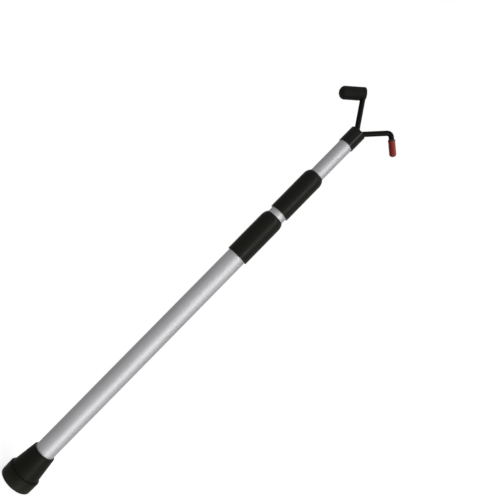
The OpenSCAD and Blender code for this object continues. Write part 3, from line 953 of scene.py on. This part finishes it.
@dataclass
class Head:
    """The socket on the inner tube, and the bent rod with its coating, pad and cap."""

    tube_radius: float = 10.5
    socket_low: float = 619.2
    socket_top: float = 644.7
    socket_wall: float = 1.4
    socket_lid: float = 6.8
    socket_edge: float = 0.5
    rivet_height: float = 628.7
    rivet_radius: float = 1.65
    fork_height: float = 640.6
    pad_arm_deg: float = -33.1
    pad_arm: float = 59.1
    cap_arm_deg: float = 41.9
    cap_arm: float = 49.4
    prong_deg: float = 131.7
    pad_prong: float = 35.0
    cap_prong: float = 33.9
    bend: float = 5.5
    rod_radius: float = 3.0
    coating: float = 0.75
    pad_radius: float = 9.35
    pad_over: float = 3.0
    pad_edge: float = 2.4
    pad_dome: float = 8.0
    pad_end_wall: float = 9.0
    pad_slot: float = 6.0
    cap_length: float = 24.1
    cap_wall: float = 1.0
    cap_end_wall: float = 2.0
    cap_dome: float = 4.0
    cap_bead: float = 0.3
    cap_bead_width: float = 2.0
    cap_bead_fullness: float = 0.6
    cap_edge: float = 0.3
    cap_edge_break: float = 0.09
    chamfer: float = 0.25

    def corners(self) -> tuple[Array, Array, Array]:
        """The rod's corners: at the pad, at the fork and at the cap."""
        fork = np.array([0.0, self.fork_height])
        pad = fork + self.pad_arm * lean(self.pad_arm_deg)
        return pad, fork, fork + self.cap_arm * lean(self.cap_arm_deg)

    def wire(self, radius: float, short: float = 0.0, end_round: float = 0.6) -> Shell:
        """The bent rod at a radius, from the end in the pad to the end in the cap.

        Args:
            radius: Radius of the round section.
            short: How much each end stops short.
            end_round: Rounding of the ends.

        Returns:
            The closed shell.
        """
        pad, fork, cap = self.corners()
        pad_end = pad + (self.pad_prong - self.pad_end_wall - short) * lean(-self.prong_deg)
        cap_run = self.cap_prong - self.cap_end_wall - SEAT_GAP - short
        cap_end = cap + cap_run * lean(self.prong_deg)
        path = rounded_line(points(pad_end, pad, fork, cap, cap_end), self.bend)
        return Shell(sweep(supported(path), radius, end_round))

    def build_socket(self) -> None:
        """Makes the socket, closed over the tube and cut for the rod and the rivet."""
        bore, out = self.tube_radius + SEAT_GAP, self.tube_radius + self.socket_wall
        edge, low, top = self.socket_edge, self.socket_low, self.socket_top
        inner_top = top - self.socket_lid
        piece = solid("fork_socket", turned(points(
            [0, top], arc((out - edge, top - edge), edge, 90, 0),
            arc((out - edge, low + edge), edge, 0, -90),
            [bore + self.chamfer, low], [bore, low + self.chamfer],
            [bore, self.rivet_height - HOLE_MARGIN], [bore, self.rivet_height + HOLE_MARGIN],
            [bore, inner_top], [0, inner_top])))
        coated = self.rod_radius + self.coating
        carve(piece, self.wire(coated + SEAT_GAP),
              drill(self.rivet_radius, self.rivet_height, 0, out + OVERCUT))
        fit(piece, Body.INNER, SOCKET, "head_socket")
        dress("head_rivet", STEEL)

    def build_fork(self) -> None:
        """Makes the dipped coating as a skin with a cavity for the rod, and dresses the rod."""
        outside = self.wire(self.rod_radius + self.coating)
        inside = self.wire(self.rod_radius + SEAT_GAP, self.coating)
        piece = solid("fork_dip", outside, Shell(inside.grid, cavity=True))
        fit(piece, Body.INNER, COATING, "fork_coating")
        dress("fork_rod", STEEL)

    def build_pad(self) -> None:
        """Makes the pad: a turned body with an elliptical dome, cut for the rod and its bend."""
        radius = self.pad_radius
        body = turned(points(
            [0, -self.pad_over],
            arc((radius - self.pad_edge, self.pad_edge - self.pad_over), self.pad_edge, -90, 0),
            dome(radius, self.pad_prong - self.pad_dome, self.pad_dome)))
        pad = self.corners()[0]
        piece = solid("prong_pad_moulded", Shell(on_prong(body.grid, pad, -self.prong_deg)))
        half, low = self.pad_slot / 2, -self.pad_over - OVERCUT
        reach = -radius - OVERCUT
        square = np.array([[reach, -half], [0.0, -half], [0.0, half], [reach, half]])
        centre = np.tile(square.mean(axis=0), (4, 1))
        levels = ((centre, low), (square, low), (square, 0.0), (centre, 0.0))
        slot = np.stack([np.column_stack((flat, np.full(4, z))) for flat, z in levels])
        carve(piece, self.wire(self.rod_radius + self.coating + SEAT_GAP, -SEAT_GAP),
              Shell(on_prong(slot, pad, -self.prong_deg)))
        fit(piece, Body.INNER, PAD, "prong_pad")

    def build_cap(self) -> None:
        """Makes the cap: a thin turned sleeve with a rolled bead at its mouth and a domed end."""
        bore = self.rod_radius + self.coating + SEAT_GAP
        out, mouth = bore + self.cap_wall, self.cap_prong - self.cap_length
        end, inner_end = self.cap_prong, self.cap_prong - self.cap_end_wall
        turn = np.linspace(0, math.pi, 2 * ARC_STEPS)
        bead = np.stack((
            out + self.cap_bead * np.sin(turn) ** self.cap_bead_fullness,
            mouth + self.cap_edge + (self.cap_bead_width - self.cap_edge) * (1 - np.cos(turn)) / 2),
            axis=-1)
        body = turned(points(
            [0, inner_end], [bore, inner_end],
            [bore, mouth + self.chamfer], [bore + self.chamfer, mouth],
            [out - self.cap_edge, mouth],
            [out - self.cap_edge_break, mouth + self.cap_edge_break], bead,
            dome(out, end - self.cap_dome, self.cap_dome)), WIRE_COLUMNS * 2)
        cap = self.corners()[2]
        piece = solid("prong_cap_moulded", Shell(on_prong(body.grid, cap, self.prong_deg)))
        way = lean(self.prong_deg)
        finish = replace(VINYL, along=(way[0], 0.0, way[1]), mouth=float(cap @ way) + mouth)
        fit(piece, Body.INNER, finish, "prong_cap")

    def build(self) -> None:
        """Makes the whole head."""
        self.build_socket()
        self.build_fork()
        self.build_pad()
        self.build_cap()


# Studio and camera


@dataclass
class Studio:
    """A white sweep: pale floor, soft even light, and one tall softbox at the front right.

    The background and the floor are white to the camera and through clear things. Glossy rays see
    the same studio, with the softbox's bright upright band, the dimmer sides of the room and a
    weak fill from behind.
    """

    softbox_turn_deg: float = 41.0
    softbox_rise_deg: float = 32.0
    softbox_distance: float = 1.5
    softbox_width: float = 0.9
    softbox_height: float = 1.4
    softbox_watts: float = 10.5
    ambient: float = 0.52
    band_level: float = 1.8
    band_inner_deg: float = 5.0
    band_outer_deg: float = 16.0
    left_level: float = 0.315
    right_level: float = 0.27
    spill_level: float = 0.36
    spill_power: float = 1.5
    rear_turn_deg: float = 188.0
    rear_level: float = 0.55
    rear_inner_deg: float = 6.0
    rear_outer_deg: float = 34.0
    floor_size: float = 12.0
    floor_colour: str = "#c4c4c4"
    floor_lift: float = 0.675
    floor_fade_start: float = 0.3
    floor_fade_end: float = 0.8

    def seen(self, tree: Tree) -> tuple[Socket, Socket]:
        """Light Path masks of what looks at a background.

        Args:
            tree: The nodes to add to.

        Returns:
            One for camera and transmission rays, and one for these and glossy rays.
        """
        path = add(tree, "ShaderNodeLightPath", {})
        direct = add(tree, "ShaderNodeMath", {
            0: path.outputs["Is Camera Ray"], 1: path.outputs["Is Transmission Ray"]},
            operation="MAXIMUM")
        every = add(tree, "ShaderNodeMath", {
            0: direct.outputs[0], 1: path.outputs["Is Glossy Ray"]}, operation="MAXIMUM")
        return direct.outputs[0], every.outputs[0]

    def build_world(self) -> None:
        """Makes the world: even for diffuse light, a room with a softbox in reflections."""
        world = bpy.data.worlds.new("studio")
        bpy.context.scene.world = world
        world.use_nodes = True
        tree = world.node_tree
        direct, every = self.seen(tree)
        turn = math.radians(self.softbox_turn_deg)
        around = add(tree, "ShaderNodeTexCoord", {})
        level = add(tree, "ShaderNodeVectorMath", {
            0: around.outputs["Generated"], 1: (1, 1, 0)}, operation="MULTIPLY")
        flat = add(tree, "ShaderNodeVectorMath", {0: level.outputs[0]}, operation="NORMALIZE")
        facing = add(tree, "ShaderNodeVectorMath", {
            0: flat.outputs[0], 1: (math.sin(turn), -math.cos(turn), 0)},
            operation="DOT_PRODUCT")
        band = add(tree, "ShaderNodeMapRange", {
            "Value": facing.outputs["Value"],
            "From Min": math.cos(math.radians(self.band_outer_deg)),
            "From Max": math.cos(math.radians(self.band_inner_deg)),
            "To Max": self.band_level}, interpolation_type="SMOOTHSTEP")
        sides = add(tree, "ShaderNodeSeparateXYZ", {0: flat.outputs[0]})
        room = add(tree, "ShaderNodeMapRange", {
            "Value": sides.outputs["X"], "From Min": -1.0,
            "To Min": self.left_level, "To Max": self.right_level})
        half = add(tree, "ShaderNodeMath", {
            0: facing.outputs["Value"], 1: 0.5, 2: 0.5}, operation="MULTIPLY_ADD")
        glow = add(tree, "ShaderNodeMath", {
            0: half.outputs[0], 1: self.spill_power}, operation="POWER")
        spill = add(tree, "ShaderNodeMath", {
            0: glow.outputs[0], 1: self.spill_level, 2: room.outputs[0]},
            operation="MULTIPLY_ADD")
        back = math.radians(self.rear_turn_deg)
        behind = add(tree, "ShaderNodeVectorMath", {
            0: flat.outputs[0], 1: (math.sin(back), -math.cos(back), 0)},
            operation="DOT_PRODUCT")
        rear = add(tree, "ShaderNodeMapRange", {
            "Value": behind.outputs["Value"],
            "From Min": math.cos(math.radians(self.rear_outer_deg)),
            "From Max": math.cos(math.radians(self.rear_inner_deg)),
            "To Max": self.rear_level}, interpolation_type="SMOOTHSTEP")
        front = add(tree, "ShaderNodeMath", {
            0: band.outputs[0], 1: spill.outputs[0]}, operation="ADD")
        studio = add(tree, "ShaderNodeMath", {
            0: front.outputs[0], 1: rear.outputs[0]}, operation="ADD")
        shown = add(tree, "ShaderNodeMix", {0: direct, 2: studio.outputs[0], 3: 1.0})
        strength = add(tree, "ShaderNodeMix", {0: every, 2: self.ambient, 3: shown.outputs[0]})
        background = tree.nodes["Background"]
        background.inputs["Color"].default_value = (1, 1, 1, 1)
        tree.links.new(strength.outputs[0], background.inputs["Strength"])

    def build_floor(self) -> None:
        """Makes the floor: pale paper, with a soft shadow near the pole and white beyond."""
        half = self.floor_size / 2
        mesh = bpy.data.meshes.new("floor")
        mesh.from_pydata(
            [(-half, -half, 0), (half, -half, 0), (half, half, 0), (-half, half, 0)], [],
            [(0, 1, 2, 3)])
        floor = bpy.data.objects.new("floor", mesh)
        bpy.context.scene.collection.objects.link(floor)
        floor.visible_glossy = False
        material = bpy.data.materials.new("white paper floor")
        material.use_nodes = True
        tree = material.node_tree
        tree.nodes.remove(tree.nodes["Principled BSDF"])
        every = self.seen(tree)[1]
        place = add(tree, "ShaderNodeTexCoord", {})
        reach = add(tree, "ShaderNodeVectorMath", {
            0: place.outputs["Object"]}, operation="LENGTH")
        fade = add(tree, "ShaderNodeMapRange", {
            "Value": reach.outputs["Value"], "From Min": self.floor_fade_start,
            "From Max": self.floor_fade_end}, interpolation_type="SMOOTHSTEP")
        lift = add(tree, "ShaderNodeMath", {0: every, 1: self.floor_lift}, operation="MULTIPLY")
        paper = add(tree, "ShaderNodeBsdfDiffuse", {"Color": linear(self.floor_colour)})
        glow = add(tree, "ShaderNodeEmission", {"Strength": lift.outputs[0]})
        near = add(tree, "ShaderNodeAddShader", {0: paper.outputs[0], 1: glow.outputs[0]})
        far = add(tree, "ShaderNodeEmission", {"Strength": every})
        both = add(tree, "ShaderNodeMixShader", {
            0: fade.outputs[0], 1: near.outputs[0], 2: far.outputs[0]})
        tree.links.new(both.outputs[0], tree.nodes["Material Output"].inputs["Surface"])
        mesh.materials.append(material)

    def build_softbox(self) -> None:
        """Hangs the softbox, turned to the middle of the pole."""
        turn, rise = math.radians(self.softbox_turn_deg), math.radians(self.softbox_rise_deg)
        away = Vector((math.sin(turn) * math.cos(rise), -math.cos(turn) * math.cos(rise),
                       math.sin(rise)))
        data = bpy.data.lights.new("softbox", "AREA")
        data.shape = "RECTANGLE"
        data.size, data.size_y = self.softbox_width, self.softbox_height
        data.energy = self.softbox_watts
        lamp = bpy.data.objects.new("softbox", data)
        bpy.context.scene.collection.objects.link(lamp)
        middle = Vector((0, 0, sum(corner[2] for corner in CAD_BOX) / 2))
        lamp.matrix_world = Matrix.LocRotScale(
            middle + self.softbox_distance * away, away.to_track_quat("Z", "Y"), None)
        lamp.visible_glossy = False

    def build(self) -> None:
        """Makes the floor, the world and the softbox."""
        bpy.context.scene.view_settings.view_transform = "Standard"
        self.build_floor()
        self.build_world()
        self.build_softbox()


@dataclass
class PhotoCamera:
    """The camera: where it stands, how far it is rolled and how wide it looks."""

    aim_height: float = 414.7
    aim_side: float = -0.68
    distance: float = 735.0
    lean_deg: float = 5.3
    roll_deg: float = 45.47
    focal_px: float = 545.0
    sensor: float = 36.0

    def place(self) -> None:
        """Stands the camera in front of the pole and makes it the scene's own."""
        tilt, roll = math.radians(self.lean_deg), math.radians(self.roll_deg)
        look = Vector((0.0, math.cos(tilt), math.sin(tilt)))
        along_pole = Vector((0.0, -math.sin(tilt), math.cos(tilt)))
        across_pole = Vector((1.0, 0.0, 0.0))
        right = math.cos(roll) * along_pole + math.sin(roll) * across_pole
        up = math.sin(roll) * along_pole - math.cos(roll) * across_pole
        data = bpy.data.cameras.new("camera")
        data.sensor_width = self.sensor
        data.lens = self.focal_px * self.sensor / max(IMAGE_WIDTH_PX, IMAGE_HEIGHT_PX)
        data.clip_start, data.clip_end = 0.01, 100.0
        camera = bpy.data.objects.new("camera", data)
        bpy.context.scene.collection.objects.link(camera)
        aim = Vector((self.aim_side, 0.0, self.aim_height)) * MM
        turn = Matrix((right, up, -look)).transposed().to_4x4()
        camera.matrix_world = Matrix.Translation(aim - self.distance * MM * look) @ turn
        bpy.context.scene.camera = camera


def main() -> None:
    """Builds the studio and the pole in order."""
    logging.basicConfig(level=logging.INFO, format="%(name)s: %(message)s")
    PhotoCamera().place()
    Studio().build()
    Foot().build()
    Tube("outer_tube", Body.BASE, radius=14.0, bore=13.0, start=11.5, end=467.5).build()
    Collar("outer_collar", Body.BASE, "outer_guide_ring",
           tube_radius=14.0, next_radius=12.5, top=477.5).build()
    Tube("mid_tube", Body.MIDDLE, radius=12.5, bore=11.3, start=40.6, end=549.6,
         pin_height=61.6).build()
    Lock("mid").build()
    Collar("mid_collar", Body.MIDDLE, "mid_guide_ring",
           tube_radius=12.5, next_radius=10.5, top=559.6).build()
    Tube("inner_tube", Body.INNER, radius=10.5, bore=9.3, start=97.7, end=637.9,
         pin_height=118.7, rivet_height=628.7, finish=INNER_TUBE).build()
    Lock("inner").build()
    Head().build()


if __name__ == "__main__":
    main()
